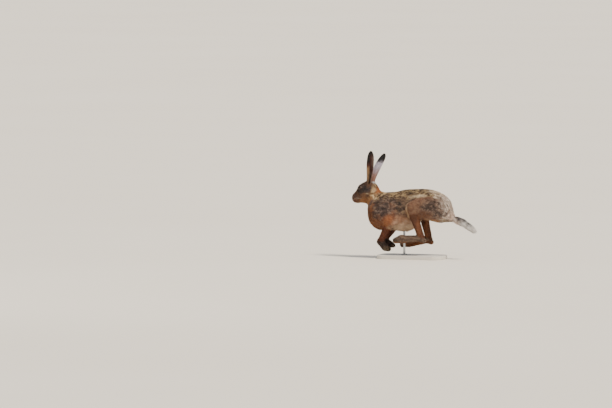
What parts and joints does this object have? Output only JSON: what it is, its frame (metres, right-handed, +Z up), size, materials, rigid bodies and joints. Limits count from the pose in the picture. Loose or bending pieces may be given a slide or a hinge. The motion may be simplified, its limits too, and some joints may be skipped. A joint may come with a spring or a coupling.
{
  "type": "brown hare",
  "caption": "Life-size still model of a brown hare at full gallop, its feet gathered under it, held over a plain display stand by a rod.",
  "frame": {"origin": "on the floor, in the middle of the underside of the stand's board", "axes": "+Z up; the hare runs towards -X along the object's longest side; its left side faces -Y"},
  "size_m": [0.572, 0.166, 0.4706],
  "materials": {
    "fur_back": "short ticked fur, black and buff",
    "fur_flank": "short russet fur",
    "fur_leg": "short dark russet fur",
    "fur_tail": "long white fur, black above",
    "ear_skin": "thin skin under very short fur, black at the tip",
    "eye": "wet amber eye with a dark pupil",
    "claw": "dark horn",
    "stand_board": "pale painted board",
    "stand_metal": "brushed"
  },
  "bodies": {
    "root": {"head": "fur_back", "neck": "fur_back", "torso": "fur_flank", "tail": "fur_tail", "ear_left": "ear_skin", "ear_right": "ear_skin", "eye_left": "eye", "eye_right": "eye", "thigh_left": "fur_leg", "thigh_right": "fur_leg", "shank_left": "fur_leg", "shank_right": "fur_leg", "hind_foot_left": "fur_leg", "hind_foot_right": "fur_leg", "upper_arm_left": "fur_leg", "upper_arm_right": "fur_leg", "forearm_left": "fur_leg", "forearm_right": "fur_leg", "fore_paw_left": "fur_leg", "fore_paw_right": "fur_leg", "claw_hind_left_1": "claw", "claw_hind_left_2": "claw", "claw_hind_left_3": "claw", "claw_hind_left_4": "claw", "claw_hind_right_1": "claw", "claw_hind_right_2": "claw", "claw_hind_right_3": "claw", "claw_hind_right_4": "claw", "claw_fore_left_1": "claw", "claw_fore_left_2": "claw", "claw_fore_left_3": "claw", "claw_fore_left_4": "claw", "claw_fore_right_1": "claw", "claw_fore_right_2": "claw", "claw_fore_right_3": "claw", "claw_fore_right_4": "claw", "stand_board": "stand_board", "stand_flange": "stand_metal", "stand_rod": "stand_metal"}
  },
  "joints": []
}
